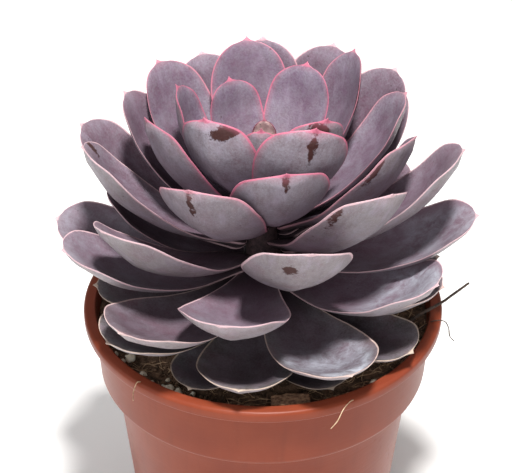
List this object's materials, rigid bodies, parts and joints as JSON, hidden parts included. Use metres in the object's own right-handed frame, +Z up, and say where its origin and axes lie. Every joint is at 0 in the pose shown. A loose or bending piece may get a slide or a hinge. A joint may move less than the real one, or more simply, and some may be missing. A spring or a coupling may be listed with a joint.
{
  "type": "potted rosette succulent",
  "caption": "Rosette succulent with spoon-shaped mauve leaves on a short stem, standing in soil in a round tapered plastic nursery pot.",
  "frame": {"origin": "middle of the pot's underside, on the surface it stands on", "axes": "+Z up along the pot's axis, -Y towards the plant's front"},
  "size_m": [0.1385, 0.1253, 0.1783],
  "materials": {
    "pot_plastic": "semi_gloss",
    "peat": "matte",
    "stem_skin": "matte",
    "leaf_skin": "satin",
    "bark": "matte",
    "stone": "matte"
  },
  "bodies": {
    "root": {"pot": "pot_plastic", "soil": "peat", "stem": "stem_skin", "bark_chip": "bark", "grit_1": "stone", "grit_2": "stone", "grit_3": "stone", "twig": "bark", "leaf_01": "leaf_skin", "leaf_02": "leaf_skin", "leaf_03": "leaf_skin", "leaf_04": "leaf_skin", "leaf_05": "leaf_skin", "leaf_06": "leaf_skin", "leaf_07": "leaf_skin", "leaf_08": "leaf_skin", "leaf_09": "leaf_skin", "leaf_10": "leaf_skin", "leaf_11": "leaf_skin", "leaf_12": "leaf_skin", "leaf_13": "leaf_skin", "leaf_14": "leaf_skin", "leaf_15": "leaf_skin", "leaf_16": "leaf_skin", "leaf_17": "leaf_skin", "leaf_18": "leaf_skin", "leaf_19": "leaf_skin", "leaf_20": "leaf_skin", "leaf_21": "leaf_skin", "leaf_22": "leaf_skin", "leaf_23": "leaf_skin", "leaf_24": "leaf_skin", "leaf_25": "leaf_skin", "leaf_26": "leaf_skin", "leaf_27": "leaf_skin", "leaf_28": "leaf_skin", "leaf_29": "leaf_skin", "leaf_30": "leaf_skin", "leaf_31": "leaf_skin", "leaf_32": "leaf_skin", "leaf_33": "leaf_skin", "leaf_34": "leaf_skin", "leaf_35": "leaf_skin", "leaf_36": "leaf_skin", "leaf_37": "leaf_skin", "leaf_38": "leaf_skin", "leaf_39": "leaf_skin", "leaf_40": "leaf_skin", "leaf_41": "leaf_skin", "leaf_42": "leaf_skin", "leaf_43": "leaf_skin", "leaf_44": "leaf_skin", "leaf_45": "leaf_skin", "leaf_46": "leaf_skin", "leaf_47": "leaf_skin", "leaf_48": "leaf_skin", "leaf_49": "leaf_skin", "leaf_50": "leaf_skin", "leaf_51": "leaf_skin", "leaf_52": "leaf_skin"}
  },
  "joints": []
}
